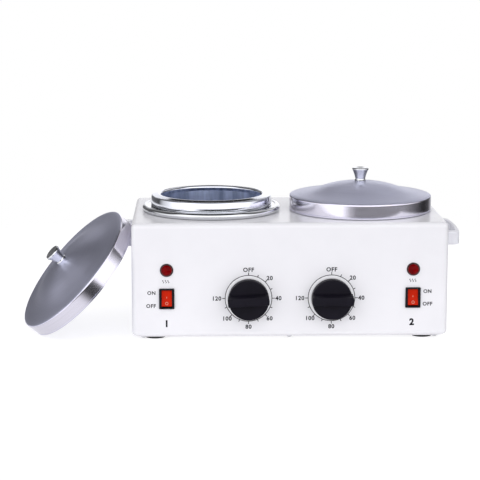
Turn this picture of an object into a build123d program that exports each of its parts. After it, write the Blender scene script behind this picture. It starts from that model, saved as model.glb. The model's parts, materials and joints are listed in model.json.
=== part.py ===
from build123d import *
import math
import os

os.makedirs("parts", exist_ok=True)

# Every size is in millimetres. The model is laid out about the middle of the housing, X to the right,
# Y to the rear and Z up from the table, and is moved at the end so that its origin is the middle of the
# whole set's footprint.

# Housing, a folded steel box with its edges rolled
housing_width = 320.0
housing_depth = 178.0
housing_height = 116.0
housing_sheet = 1.2
housing_bend = 5.0
bottom_lip = 17.0

# Clearances
rest_gap = 0.3
corner_reach = 0.01
seat_gap = 0.1
running_clearance = 0.05
screw_clearance = 0.2
cutout_clearance = 0.25

# Base plate and feet
base_inset = 6.0
base_sheet = 1.2
base_corner = 4.0
foot_height = 3.8
foot_top_radius = 12.0
foot_bottom_radius = 10.5
foot_inset_x = 23.0
foot_inset_y = 24.0
foot_recess_radius = 4.6
foot_recess_depth = 2.6
vent_length = 46.0
vent_width = 4.0
vent_pitch = 10.0
vents_each_side = 3

# Fasteners
m4_radius = 2.0
m4_head_radius = 3.6
m4_head_height = 2.2
m4_nut_flats = 7.0
m4_nut_height = 3.0
m3_radius = 1.5
m3_head_radius = 2.8
m3_head_height = 1.8
head_round_share = 0.45
thread_end = 1.0
base_screw_length = 6.0
base_screw_inset = 5.5
foot_screw_length = 10.0
thermostat_screw_head = 1.6
thermostat_screw_length = 6.0
handle_screw_length = 12.0

# Side handles, bow pulls
handle_length = 88.0
handle_height = 13.6
handle_rise = 98.8
handle_reach = 20.5
handle_crown = 2.7
handle_thickness = 3.5
handle_leg = 9.0
handle_corner = 8.0
handle_edge = 1.2

# Inner pots
well_spacing = 157.0
pot_bore_radius = 52.7
pot_sheet = 1.2
pot_floor_corner = 7.0
pot_depth = 92.0
collar_radius = 63.3
collar_height = 11.95
shoulder_width = 0.7
shoulder_drop = 1.5
shoulder_round = 1.7
lip_round = 1.6
band_swell = 0.05

# Heating wells
pot_side_gap = 2.1
pot_floor_gap = 1.5
well_sheet = 1.2
well_floor = 1.5
flange_show = 9.2
bead_radius = 3.4
well_hole_clearance = 1.0
gasket_height = 4.8
gasket_width = 6.0

# Heaters and what holds them
heater_height = 34.0
heater_sheet = 3.0
heater_rise = 12.0
heater_split = 8.0
wrap_height = 52.0
wrap_thickness = 5.0
wrap_split = 34.0
lug_length = 9.0
lug_width = 6.0
lug_sheet = 2.0
lug_angle = 45.0
bulb_radius = 3.0
bulb_length = 40.0
bulb_offset = 25.0
capillary_radius = 0.9
capillary_tail = 10.0
fuse_radius = 2.2
fuse_length = 14.0
tie_rod_tail = 0.3

# Lids
lid_sheet = 1.0
lid_side_gap = 1.1
skirt_height = 15.6
seat_rise = 3.4
seat_inset = 1.8
cone_radius = 32.0
cone_rise = 10.4
crown_rise = 13.8
lid_edge_round = 1.3
lid_knob_base = 5.9
lid_knob_collar = 1.5
lid_knob_waist = 5.1
lid_knob_waist_rise = 0.9
lid_knob_flare = 0.28
lid_knob_flare_height = 0.62
lid_knob_top = 8.6
lid_knob_height = 14.4
lid_knob_dish = 0.8
lid_knob_round = 0.7
lid_screw_grip = 8.0
lid_screw_play = 0.5
lid_rim_slope = 0.2
lid_crown_slope = 0.06

# The lid that leans on the left wall
lean_tilt = 48.8
lean_turn = 17.35
lean_offset = -34.4

# Dials and thermostats
dial_spacing = 84.0
dial_height = 44.3
dial_radius = 20.5
dial_standoff = 2.5
dial_thickness = 9.5
dial_edge = 0.9
dial_recess_wall = 2.6
dial_recess_depth = 5.0
dial_hub_radius = 6.5
grip_setback = 0.2
grip_base = 12.8
grip_front = 8.2
grip_height = 9.0
grip_edge = 0.7
pointer_tip = 0.8
left_dial_degrees = 267.0
right_dial_degrees = 90.0
spindle_radius = 3.0
spindle_inside = 12.0
spindle_grip = 12.0
spindle_play = 1.0
thermostat_width = 34.0
thermostat_depth = 20.0
bush_radius = 4.8
bush_length = 2.0
thermostat_screw_pitch = 28.0

# Lamps
lamp_inset = 35.4
lamp_height = 73.6
lamp_flange_radius = 6.75
lamp_flange = 1.0
lamp_flange_round = 0.6
lamp_dome_radius = 5.9
lamp_dome_height = 3.6
lamp_body_radius = 5.0
lamp_body_length = 22.0
lamp_nut_radius = 8.0
lamp_nut_height = 3.0

# Rocker switches
switch_height = 44.4
bezel_width = 15.4
bezel_height = 21.0
bezel_depth = 2.0
bezel_edge = 0.9
bezel_front_round = 0.54
bezel_rim = 1.5
switch_body_depth = 20.0
switch_body_inset = 1.0
rocker_side_gap = 0.3
rocker_width = 10.2
rocker_half = 8.2
rocker_angle = 9.0
rocker_valley = 2.4
rocker_root = 5.0
rocker_heel = 5.6
rocker_taper = 0.82
rocker_edge = 0.4
pivot_depth = 2.0
trunnion_radius = 1.2
trunnion_length = 1.0

# Rear and floor fittings
gland_height = 24.0
gland_flange_radius = 10.0
gland_flange = 5.0
gland_flange_round = 2.0
gland_thread_radius = 7.5
gland_thread_length = 13.0
gland_bore_radius = 3.75
gland_nut_flats = 19.0
gland_nut_height = 4.0
block_length = 34.0
block_width = 18.0
block_height = 14.0
block_offset = 48.0
block_pitch = 10.0
block_screw_depth = 4.2
earth_offset_x = 34.0
earth_offset_y = 52.0
earth_height = 10.0
lead_radius = 1.1
lead_run = 26.0
lead_bend = 4.0
lug_hold = 2.0
lead_clearance = 1.5

# Levels and places that follow from the sizes above
base_top = foot_height + base_sheet
housing_top = base_top + housing_height
wall_x = housing_width / 2
front_y = -housing_depth / 2
rear_y = housing_depth / 2
front_inner_y = front_y + housing_sheet
handle_top = base_top + handle_rise
foot_x = wall_x - foot_inset_x
foot_y = rear_y - foot_inset_y
well_x = well_spacing / 2
dial_x = dial_spacing / 2
lamp_x = wall_x - lamp_inset

pot_outer_radius = pot_bore_radius + pot_sheet
well_bore_radius = pot_outer_radius + pot_side_gap
well_outer_radius = well_bore_radius + well_sheet
well_hole_radius = well_outer_radius + well_hole_clearance
flange_radius = collar_radius + flange_show
bead_middle = flange_radius - bead_radius
bead_z = housing_top + bead_radius + seat_gap
flange_bottom = housing_top + gasket_height
collar_bottom = flange_bottom + well_sheet + rest_gap
pot_top = collar_bottom + collar_height
pot_floor = pot_top - pot_depth
pot_bottom = pot_floor - pot_sheet
well_floor_top = pot_bottom - pot_floor_gap
well_bottom = well_floor_top - well_floor
shoulder_radius = collar_radius - shoulder_width

heater_inner = well_outer_radius + seat_gap
heater_outer = heater_inner + heater_sheet
heater_bottom = well_bottom + heater_rise
wrap_inner = heater_outer + seat_gap
wrap_outer = wrap_inner + wrap_thickness
wrap_bottom = heater_bottom - (wrap_height - heater_height) / 2

lid_radius = flange_radius + lid_side_gap + lid_sheet
seat_radius = pot_bore_radius + seat_inset
lid_lift = skirt_height + seat_rise - lid_sheet
closed_lid_z = pot_top + rest_gap - lid_lift
crown_z = skirt_height + crown_rise

switch_x = lamp_x
window_width = rocker_width + 2 * rocker_side_gap
window_height = bezel_height - 2 * bezel_rim
switch_body_width = bezel_width - 2 * switch_body_inset
switch_body_height = bezel_height - 2 * switch_body_inset


# Small shared shapes


def tube(outer, inner, height):
    """Upright ring that stands on the origin."""
    return Pos(0, 0, height / 2) * (Cylinder(outer, height) - Cylinder(inner, 2 * height))


def rod(radius, height):
    """Upright cylinder that stands on the origin."""
    return Pos(0, 0, height / 2) * Cylinder(radius, height)


def toward_front(shape):
    """Turn a shape built along +Z so that it points at the viewer, its +Y side up."""
    return Rot(90, 0, 0) * shape


def spun(section):
    """Solid of revolution about Z from a flat section drawn as radius and height."""
    return revolve(Plane.XZ * section, Axis.Z)


def pan_screw(radius, length, head_radius, head_height):
    """Screw that hangs from its head: the head sits below the origin and the shank goes up."""
    head = Pos(0, 0, -head_height) * rod(head_radius, head_height)
    head = fillet(head.edges().group_by(Axis.Z)[0], head_round_share * head_height)
    return head + rod(radius, length)


def hex_nut(flats, height, bore):
    """Hexagon nut that stands on the origin."""
    blank = extrude(RegularPolygon(flats / 2, 6, major_radius=False), height)
    return blank - rod(bore, 3 * height).moved(Location((0, 0, -height)))


def lead(points, radius, bend):
    """Round wire along straight runs joined by arcs."""
    path = FilletPolyline(*points, radius=bend)
    start = Plane(origin=path @ 0, z_dir=path % 0)
    return sweep(start * Circle(radius), path=path)


# Housing and what closes it from below


def rounded_box(width, depth, height, radius):
    box = Box(width, depth, height)
    return fillet(box.edges(), radius)


def base_screw_places():
    y = rear_y - base_inset - base_screw_inset
    x = wall_x - base_inset - base_screw_inset
    return [(-x, -y), (x, -y), (-x, y), (x, y), (0, -y), (0, y)]


def foot_places():
    return [(-foot_x, -foot_y), (foot_x, -foot_y), (-foot_x, foot_y), (foot_x, foot_y)]


def handle_screw_places():
    y = handle_length / 2 - handle_leg / 2
    return [-y, y]


def handle_z():
    return handle_top - handle_height / 2


def housing_shell():
    outer = rounded_box(housing_width, housing_depth, housing_height, housing_bend)
    inner = rounded_box(
        housing_width - 2 * housing_sheet,
        housing_depth - 2 * housing_sheet,
        housing_height - 2 * housing_sheet,
        housing_bend - housing_sheet,
    )
    shell = Pos(0, 0, base_top + housing_height / 2) * (outer - inner)
    mouth = Box(housing_width - 2 * bottom_lip, housing_depth - 2 * bottom_lip, 4 * housing_sheet)
    shell -= Pos(0, 0, base_top) * mouth
    for sign in (-1, 1):
        shell -= Pos(sign * well_x, 0, housing_top) * Cylinder(well_hole_radius, 4 * housing_sheet)
        shell -= front_hole(sign * dial_x, dial_height, bush_radius + cutout_clearance)
        for rise in (-1, 1):
            z = dial_height + rise * thermostat_screw_pitch / 2
            shell -= front_hole(sign * dial_x, z, m4_radius + screw_clearance)
        shell -= front_hole(sign * lamp_x, lamp_height, lamp_body_radius + cutout_clearance)
        cutout = Box(
            switch_body_width + 2 * cutout_clearance,
            4 * housing_sheet,
            switch_body_height + 2 * cutout_clearance,
        )
        shell -= Pos(sign * switch_x, front_y, switch_height) * cutout
        for y in handle_screw_places():
            hole = Rot(0, 90, 0) * Cylinder(m4_radius + screw_clearance, 4 * housing_sheet)
            shell -= Pos(sign * wall_x, y, handle_z()) * hole
    gland_hole = Rot(90, 0, 0) * Cylinder(gland_thread_radius + cutout_clearance, 4 * housing_sheet)
    shell -= Pos(0, rear_y, gland_height) * gland_hole
    for x, y in base_screw_places():
        shell -= Pos(x, y, base_top) * Cylinder(m3_radius + screw_clearance, 4 * housing_sheet)
    return shell


def front_hole(x, z, radius):
    return Pos(x, front_y, z) * Rot(90, 0, 0) * Cylinder(radius, 4 * housing_sheet)


def base_plate():
    plate = Box(housing_width - 2 * base_inset, housing_depth - 2 * base_inset, base_sheet)
    plate = fillet(plate.edges().filter_by(Axis.Z), base_corner)
    plate = Pos(0, 0, foot_height + base_sheet / 2) * plate
    for x, y in base_screw_places():
        plate -= Pos(x, y, foot_height) * Cylinder(m3_radius + screw_clearance, 4 * base_sheet)
    for x, y in foot_places():
        plate -= Pos(x, y, foot_height) * Cylinder(m4_radius + screw_clearance, 4 * base_sheet)
    for sign in (-1, 1):
        plate -= Pos(sign * well_x, 0, foot_height) * Cylinder(m4_radius + screw_clearance, 4 * base_sheet)
        for side in (-1, 1):
            for step in range(1, vents_each_side + 1):
                slot = extrude(SlotOverall(vent_length, vent_width), 4 * base_sheet, both=True)
                plate -= Pos(sign * well_x, side * (step + 0.5) * vent_pitch, foot_height) * slot
    return plate


def base_screws():
    screw = pan_screw(m3_radius, base_screw_length, m3_head_radius, m3_head_height)
    return [Pos(x, y, foot_height) * screw for x, y in base_screw_places()]


def rubber_foot(x, y):
    body = Pos(0, 0, foot_height / 2) * Cone(foot_bottom_radius, foot_top_radius, foot_height)
    body -= rod(foot_recess_radius, foot_recess_depth)
    body -= rod(m4_radius + screw_clearance, 2 * foot_height)
    return Pos(x, y, 0) * body


def foot_screws():
    screw = pan_screw(m4_radius, foot_screw_length, m4_head_radius, m4_head_height)
    return [Pos(x, y, foot_recess_depth) * screw for x, y in foot_places()]


def foot_nuts():
    nut = hex_nut(m4_nut_flats, m4_nut_height, m4_radius + running_clearance)
    return [Pos(x, y, base_top) * nut for x, y in foot_places()]


# Side handles


def handle_outline(inset):
    """Half of a bow pull seen from above: legs out from the wall, joined by a slightly bowed grip."""
    half = handle_length / 2 - (handle_leg if inset else 0)
    reach = handle_reach - (handle_thickness if inset else 0)
    corner = max(handle_corner - (handle_thickness if inset else 0), 1.0)
    end = reach - handle_crown
    outline = Polyline((0, half), (end, half))
    outline += ThreePointArc((end, half), (reach, 0), (end, -half))
    outline += Polyline((end, -half), (0, -half), (0, half))
    face = make_face(outline)
    outer_corners = face.vertices().group_by(Axis.X)[-1]
    return fillet(outer_corners, corner)


def handle(sign):
    bow = handle_outline(inset=False) - handle_outline(inset=True)
    strap = extrude(bow, handle_height)
    strap = fillet(strap.edges().filter_by(Axis.Z, reverse=True).group_by(Axis.X)[1:], handle_edge)
    bottom = handle_top - handle_height
    for y in handle_screw_places():
        hole = Rot(0, 90, 0) * rod(m4_radius + running_clearance, handle_screw_length - housing_sheet)
        strap -= Pos(0, y, handle_height / 2) * hole
    placed = Pos(wall_x, 0, bottom) * strap
    return placed if sign > 0 else mirror(placed, Plane.YZ)


def handle_screws():
    screws = []
    inner_wall = wall_x - housing_sheet
    for sign in (-1, 1):
        for y in handle_screw_places():
            screw = pan_screw(m4_radius, handle_screw_length - thread_end, m4_head_radius, m4_head_height)
            screws.append(Pos(sign * inner_wall, y, handle_z()) * Rot(0, sign * 90, 0) * screw)
    return screws


# Wells, pots and heaters


def heating_well(sign):
    wall = Pos(well_bore_radius, well_bottom) * Rectangle(
        well_sheet, flange_bottom + well_sheet - well_bottom, align=(Align.MIN, Align.MIN)
    )
    floor = Pos(0, well_bottom) * Rectangle(
        well_outer_radius, well_floor, align=(Align.MIN, Align.MIN)
    )
    flange = Pos(well_bore_radius, flange_bottom) * Rectangle(
        bead_middle - well_bore_radius, well_sheet, align=(Align.MIN, Align.MIN)
    )
    bead = Pos(bead_middle, bead_z) * Circle(bead_radius)
    return Pos(sign * well_x, 0, 0) * spun(wall + floor + flange + bead)


def well_gasket(sign):
    inner = well_hole_radius + rest_gap
    ring = tube(inner + gasket_width, inner, gasket_height)
    return Pos(sign * well_x, 0, housing_top) * ring


def inner_pot(sign):
    inner = Polyline((0, pot_floor), (pot_bore_radius, pot_floor), (pot_bore_radius, pot_top - lip_round))
    crest = (pot_bore_radius + lip_round, pot_top)
    lip = RadiusArc((pot_bore_radius, pot_top - lip_round), crest, lip_round)
    shoulder = (shoulder_radius, pot_top - shoulder_drop)
    crown = Line(crest, shoulder)
    edge = (collar_radius, collar_bottom)
    band = ThreePointArc(shoulder, bulge(shoulder, edge), edge)
    under_edge = (collar_radius - pot_sheet, collar_bottom)
    under_shoulder = (shoulder_radius - pot_sheet, pot_top - shoulder_drop - pot_sheet)
    under_band = ThreePointArc(under_edge, bulge(under_shoulder, under_edge), under_shoulder)
    under_crown = Line(under_shoulder, (pot_outer_radius, pot_top - pot_sheet - lip_round))
    outer = Polyline(
        (pot_outer_radius, pot_top - pot_sheet - lip_round),
        (pot_outer_radius, pot_bottom),
        (0, pot_bottom),
        (0, pot_floor),
    )
    section = make_face([inner, lip, crown, band, Line(edge, under_edge), under_band, under_crown, outer])
    section = fillet(corners_at(section, (pot_bore_radius, pot_floor)), pot_floor_corner)
    section = fillet(corners_at(section, (pot_outer_radius, pot_bottom)), pot_floor_corner + pot_sheet)
    section = fillet(corners_at(section, shoulder), shoulder_round)
    section = fillet(corners_at(section, under_shoulder), shoulder_round - pot_sheet)
    return Pos(sign * well_x, 0, 0) * spun(section)


def corners_at(section, point):
    """Corners of a flat outline that lie at the given point."""
    return [
        corner
        for corner in section.vertices()
        if math.hypot(corner.X - point[0], corner.Y - point[1]) < corner_reach
    ]


def bulge(start, end):
    """Middle of a gently swollen band between two points, pushed out square to it."""
    run = end[0] - start[0]
    drop = start[1] - end[1]
    length = math.hypot(run, drop)
    swell = band_swell * length
    return ((start[0] + end[0]) / 2 + swell * drop / length, (start[1] + end[1]) / 2 + swell * run / length)


def split_ring(outer, inner, height, split, angle):
    """Ring with a gap of the given width at the given angle."""
    ring = tube(outer, inner, height)
    gap = Box(outer, split, 2 * height, align=(Align.MIN, Align.CENTER, Align.CENTER))
    return ring - Pos(0, 0, height / 2) * Rot(0, 0, angle) * Pos(inner * 0.5, 0, 0) * gap


def lug_turn(sign):
    """Direction of a heater's terminals, towards the middle of the rear."""
    return lug_angle if sign < 0 else 180 - lug_angle


def heater_band(sign):
    band = split_ring(heater_outer, heater_inner, heater_height, heater_split, lug_turn(sign))
    lug = Box(lug_length, lug_width, lug_sheet, align=(Align.MIN, Align.MIN, Align.CENTER))
    place = Pos(heater_outer - 0.5 * heater_sheet, heater_split / 2, heater_height / 2)
    band += Rot(0, 0, lug_turn(sign)) * place * lug
    return Pos(sign * well_x, 0, heater_bottom) * band


def insulation_wrap(sign):
    wrap = split_ring(wrap_outer, wrap_inner, wrap_height, wrap_split, lug_turn(sign))
    return Pos(sign * well_x, 0, wrap_bottom) * wrap


def tie_rod(sign):
    bottom = foot_height - m4_nut_height - tie_rod_tail
    return Pos(sign * well_x, 0, bottom) * rod(m4_radius, well_bottom - bottom)


def tie_rod_nuts():
    nut = hex_nut(m4_nut_flats, m4_nut_height, m4_radius + running_clearance)
    return [Pos(sign * well_x, 0, foot_height - m4_nut_height) * nut for sign in (-1, 1)]


def thermal_fuse(sign):
    body = Rot(0, 90, 0) * Cylinder(fuse_radius, fuse_length)
    return Pos(sign * well_x, bulb_offset, well_bottom - fuse_radius - seat_gap) * body


# Thermostats and dials


def thermostat_body(sign):
    body = Box(thermostat_width, thermostat_depth, thermostat_width)
    body = Pos(0, front_inner_y + thermostat_depth / 2, 0) * body
    bush = Pos(0, front_inner_y, 0) * toward_front(rod(bush_radius, housing_sheet + bush_length / 2))
    bore_length = spindle_inside + housing_sheet + bush_length
    bore = toward_front(rod(spindle_radius + running_clearance, bore_length))
    body = body + bush - Pos(0, front_inner_y + spindle_inside, 0) * bore
    for rise in (-1, 1):
        hole = toward_front(Cylinder(m4_radius + running_clearance, 2 * thermostat_screw_length))
        body -= Pos(0, front_inner_y, rise * thermostat_screw_pitch / 2) * hole
    return Pos(sign * dial_x, 0, dial_height) * body


def thermostat_screws():
    screw = pan_screw(m4_radius, thermostat_screw_length, m4_head_radius, thermostat_screw_head)
    screws = []
    for sign in (-1, 1):
        for rise in (-1, 1):
            z = dial_height + rise * thermostat_screw_pitch / 2
            screws.append(Pos(sign * dial_x, front_y, z) * Rot(-90, 0, 0) * screw)
    return screws


def capillary(sign):
    bulb_z = well_bottom - bulb_radius - seat_gap
    bulb_end = well_x - bulb_length / 2
    bulb = Rot(0, 90, 0) * Cylinder(bulb_radius, bulb_length)
    bulb = Pos(sign * well_x, -bulb_offset, bulb_z) * bulb
    back = front_inner_y + thermostat_depth
    route = [
        (sign * (bulb_end + 1), -bulb_offset, bulb_z),
        (sign * dial_x, -bulb_offset, bulb_z),
        (sign * dial_x, (back - bulb_offset) / 2, (bulb_z + dial_height) / 2),
        (sign * dial_x, back + capillary_tail, dial_height),
        (sign * dial_x, back, dial_height),
    ]
    return bulb + lead(route, capillary_radius, [(bulb_end - dial_x) * 0.6, capillary_tail, capillary_tail])


def dial_spindle(sign):
    length = spindle_inside - spindle_play + housing_sheet + dial_standoff + spindle_grip
    start = front_inner_y + spindle_inside - spindle_play
    return Pos(sign * dial_x, start, dial_height) * toward_front(rod(spindle_radius, length))


def dial_blank():
    """Dial knob about its own axis: rear face on the origin, front towards +Z, pointer towards +Y."""
    disc = rod(dial_radius, dial_thickness)
    disc = fillet(disc.edges().group_by(Axis.Z)[-1], dial_edge)
    recess = rod(dial_radius - dial_recess_wall, dial_recess_depth) - rod(dial_hub_radius, dial_recess_depth)
    length = 2 * dial_radius + 2 * pointer_tip
    base = Rectangle(grip_base, length)
    front = Pos(0, 0, grip_height) * Rectangle(grip_front, length)
    grip = Pos(0, 0, dial_thickness - dial_edge) * loft([base, front])
    grip = fillet(grip.edges().group_by(Axis.Z)[-1], grip_edge)
    trim = rod(dial_radius - grip_setback, 4 * grip_height)
    reach = dial_radius + pointer_tip
    nose = Box(grip_base, reach, 4 * grip_height, align=(Align.CENTER, Align.MIN, Align.MIN))
    nose = nose & rod(reach, 4 * grip_height)
    grip = grip & (trim + nose)
    knob = disc - recess + grip
    bore = rod(spindle_radius + running_clearance, spindle_grip + rest_gap)
    return knob - bore


def dial_knob(sign, degrees):
    knob = Rot(0, 0, -degrees) * dial_blank()
    return Pos(sign * dial_x, front_y - dial_standoff, dial_height) * toward_front(knob)


# Lamps and switches


def lamp_body(sign):
    body = rod(lamp_body_radius, lamp_body_length)
    nut_z = lamp_body_length - housing_sheet - lamp_nut_height
    nut = Pos(0, 0, nut_z) * rod(lamp_nut_radius, lamp_nut_height)
    place = Pos(sign * lamp_x, front_y + lamp_body_length, lamp_height)
    return place * toward_front(body + nut)


def lamp_lens(sign):
    flange = rod(lamp_flange_radius, lamp_flange)
    flange = fillet(flange.edges().group_by(Axis.Z)[-1], lamp_flange_round)
    ball = (lamp_dome_radius ** 2 + lamp_dome_height ** 2) / (2 * lamp_dome_height)
    dome = Pos(0, 0, lamp_flange + lamp_dome_height - ball) * Sphere(ball)
    dome = dome & rod(lamp_dome_radius, 2 * ball)
    return Pos(sign * lamp_x, front_y, lamp_height) * toward_front(flange + dome)


def switch_body(sign):
    """Black frame with a window, in front of the panel, and the box behind it that holds the rocker."""
    bezel = Box(bezel_width, bezel_depth, bezel_height)
    bezel = fillet(bezel.edges().filter_by(Axis.Y), bezel_edge)
    bezel = fillet(bezel.faces().sort_by(Axis.Y)[0].edges(), bezel_front_round)
    bezel = Pos(0, front_y - bezel_depth / 2, 0) * bezel
    body = Box(switch_body_width, switch_body_depth, switch_body_height)
    body = Pos(0, front_y + switch_body_depth / 2, 0) * body
    window_depth = bezel_depth + pivot_depth + rocker_root + rocker_heel
    window = Box(window_width, window_depth, window_height)
    window = Pos(0, front_y - bezel_depth + window_depth / 2, 0) * window
    pivot = Rot(0, 90, 0) * Cylinder(trunnion_radius + running_clearance, rocker_width + 2 * trunnion_length)
    pivot = Pos(0, rocker_pivot_y(), 0) * pivot
    return Pos(sign * switch_x, 0, switch_height) * (bezel + body - window - pivot)


def rocker_pivot_y():
    return front_y + pivot_depth


def rocker(sign):
    """Rocker tipped to on: its upper half lies level with the panel and its lower half stands out."""
    rise = rocker_half * math.tan(math.radians(rocker_angle))
    outline = Polyline(
        (-rocker_half, rocker_valley + rise),
        (0, rocker_valley),
        (rocker_half, rocker_valley + rise),
        (rocker_taper * rocker_half, -rocker_root),
        (-rocker_taper * rocker_half, -rocker_root),
        (-rocker_half, rocker_valley + rise),
    )
    blank = extrude(make_face(outline), rocker_width / 2, both=True)
    blank = fillet(blank.edges().filter_by(Axis.Z).group_by(Axis.Y)[-1], rocker_edge)
    pin = Cylinder(trunnion_radius, rocker_width + 2 * (trunnion_length - rocker_side_gap / 2))
    tipped = Rot(0, 0, -rocker_angle) * (blank + pin)
    pivot = (sign * switch_x, rocker_pivot_y(), switch_height)
    return Plane(origin=pivot, x_dir=(0, 0, 1), z_dir=(1, 0, 0)).location * tipped


# Lids


def lid_curve(drop):
    """Line of the lid's top from its crease to the knob seat, lowered by the given amount."""
    return Spline(
        (lid_radius, skirt_height - drop),
        (seat_radius, skirt_height + seat_rise - drop),
        (cone_radius, skirt_height + cone_rise - drop),
        (lid_knob_base, crown_z - drop),
        tangents=[(-1, lid_rim_slope), (-1, lid_crown_slope)],
    )


def under_curve(drop):
    return make_face(
        [
            lid_curve(drop),
            Polyline(
                (lid_knob_base, crown_z - drop),
                (0, crown_z - drop),
                (0, 0),
                (lid_radius, 0),
                (lid_radius, skirt_height - drop),
            ),
        ]
    )


def lid_blank():
    """Lid about its own axis, its open edge on the origin."""
    inner = lid_radius - lid_sheet
    hollow = under_curve(lid_sheet) & Rectangle(inner, 4 * skirt_height, align=(Align.MIN, Align.CENTER))
    section = under_curve(0) - hollow
    section = fillet(corners_at(section, (lid_radius, skirt_height)), lid_edge_round)
    hole = Pos(0, 0, skirt_height) * rod(m4_radius + screw_clearance, crown_rise + lid_sheet)
    return spun(section) - hole


def lid_knob_blank():
    """Flared knob about its own axis, its foot on the origin."""
    rim = lid_knob_height - lid_knob_round
    waist = (lid_knob_waist, lid_knob_collar + lid_knob_waist_rise)
    flare = (
        lid_knob_waist + lid_knob_flare * (lid_knob_top - lid_knob_waist),
        lid_knob_flare_height * lid_knob_height,
    )
    outline = [
        Polyline((0, 0), (lid_knob_base, 0), (lid_knob_base, lid_knob_collar)),
        Line((lid_knob_base, lid_knob_collar), waist),
        ThreePointArc(waist, flare, (lid_knob_top, rim)),
        Line((lid_knob_top, rim), (lid_knob_top - lid_knob_round, lid_knob_height)),
        Polyline(
            (lid_knob_top - lid_knob_round, lid_knob_height),
            (0, lid_knob_height - lid_knob_dish),
            (0, 0),
        ),
    ]
    return spun(make_face(outline)) - rod(m4_radius + running_clearance, lid_screw_grip)


def lid_screw_blank():
    """Screw that holds the knob from under the lid, in the lid's own frame."""
    length = lid_sheet + lid_screw_grip - lid_screw_play
    screw = pan_screw(m4_radius, length, m4_head_radius, m4_head_height)
    return Pos(0, 0, crown_z - lid_sheet) * screw


def closed_place():
    return Location((well_x, 0, closed_lid_z))


def leaning_place():
    """Lid stood on its edge against the left wall, its open side turned to the wall."""
    tilt = math.radians(lean_tilt)
    turn = math.radians(lean_turn)
    axis = (-math.sin(tilt) * math.cos(turn), -math.sin(tilt) * math.sin(turn), math.cos(tilt))
    x = -wall_x - rest_gap - lid_radius * math.sqrt(1 - axis[0] ** 2)
    z = lid_radius * math.sin(tilt)
    return Plane(origin=(x, lean_offset, z), x_dir=(0, 1, 0), z_dir=axis).location


def lid_set(place):
    knob = Pos(0, 0, crown_z) * lid_knob_blank()
    return place * lid_blank(), place * knob, place * lid_screw_blank()


# Rear and floor fittings


def cord_gland():
    flange = rod(gland_flange_radius, gland_flange)
    flange = fillet(flange.edges().group_by(Axis.Z)[-1], gland_flange_round)
    thread = Pos(0, 0, -gland_thread_length) * rod(gland_thread_radius, gland_thread_length)
    bore = Cylinder(gland_bore_radius, 4 * gland_thread_length)
    body = flange + thread - bore
    return Pos(0, rear_y, gland_height) * Rot(-90, 0, 0) * body


def gland_nut():
    nut = hex_nut(gland_nut_flats, gland_nut_height, gland_thread_radius + running_clearance)
    inner = rear_y - housing_sheet - gland_nut_height
    return Pos(0, inner, gland_height) * Rot(-90, 0, 0) * nut


def terminal_block():
    block = Box(block_length, block_width, block_height)
    for step in (-1, 0, 1):
        x = step * block_pitch
        block -= Pos(x, 0, 0) * Rot(90, 0, 0) * Cylinder(lead_radius + screw_clearance, 2 * block_width)
        block -= Pos(x, 0, block_height / 2) * Cylinder(m3_radius, 2 * block_screw_depth)
    return Pos(0, block_offset, base_top + block_height / 2) * block


def earth_stud():
    stud = rod(m4_radius, earth_height)
    foot = rod(m4_head_radius, m4_head_height)
    return Pos(earth_offset_x, earth_offset_y, base_top) * (stud + foot)


def switch_lead(sign):
    """Lead that runs along the floor, rises clear of the insulation and meets the switch from behind."""
    back = front_y + switch_body_depth
    low = base_top + block_height / 2
    clear = wrap_outer + lead_radius + lead_clearance
    rise_y = -math.sqrt(clear ** 2 - (switch_x - well_x) ** 2)
    route = [
        (sign * block_length / 2, block_offset, low),
        (sign * (block_length / 2 + lead_run), block_offset, low),
        (sign * switch_x, 0, low),
        (sign * switch_x, rise_y, low),
        (sign * switch_x, rise_y, switch_height),
        (sign * switch_x, back, switch_height),
    ]
    return lead(route, lead_radius, [lead_run / 2, lead_run / 2, lead_bend, lead_bend])


def heater_lead(sign):
    turn = math.radians(lug_turn(sign))
    reach = heater_outer + lug_length - lug_hold
    side = heater_split / 2 + lug_width / 2
    x = sign * well_x + reach * math.cos(turn) - side * math.sin(turn)
    y = reach * math.sin(turn) + side * math.cos(turn)
    top = heater_bottom + heater_height / 2 - lug_sheet / 2
    block_top = base_top + block_height
    route = [
        (sign * block_length / 4, block_offset, block_top),
        (sign * block_length / 4, block_offset, block_top + 0.7 * lead_run),
        (x, y, top - 0.7 * lead_run),
        (x, y, top),
    ]
    return lead(route, lead_radius, 0.3 * lead_run)


# The whole set, by node name


def sided(name, make):
    return {f"left_{name}": make(-1), f"right_{name}": make(1)}


model = {
    "housing_shell": housing_shell(),
    "base_plate": base_plate(),
    "base_screws": base_screws(),
    "foot_screws": foot_screws(),
    "foot_nuts": foot_nuts(),
    "handle_screws": handle_screws(),
    "tie_rod_nuts": tie_rod_nuts(),
    "thermostat_screws": thermostat_screws(),
    "cord_gland": cord_gland(),
    "gland_nut": gland_nut(),
    "terminal_block": terminal_block(),
    "earth_stud": earth_stud(),
}
foot_names = ("foot_front_left", "foot_front_right", "foot_rear_left", "foot_rear_right")
for foot_name, (foot_place_x, foot_place_y) in zip(foot_names, foot_places()):
    model[foot_name] = rubber_foot(foot_place_x, foot_place_y)
for piece_name, maker in (
    ("handle", handle),
    ("heating_well", heating_well),
    ("well_gasket", well_gasket),
    ("heater_band", heater_band),
    ("insulation_wrap", insulation_wrap),
    ("tie_rod", tie_rod),
    ("thermal_fuse", thermal_fuse),
    ("thermostat_body", thermostat_body),
    ("capillary", capillary),
    ("dial_spindle", dial_spindle),
    ("lamp_body", lamp_body),
    ("lamp_lens", lamp_lens),
    ("switch_body", switch_body),
    ("rocker", rocker),
    ("inner_pot", inner_pot),
    ("switch_lead", switch_lead),
    ("heater_lead", heater_lead),
):
    model.update(sided(piece_name, maker))
model["left_dial_knob"] = dial_knob(-1, left_dial_degrees)
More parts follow.
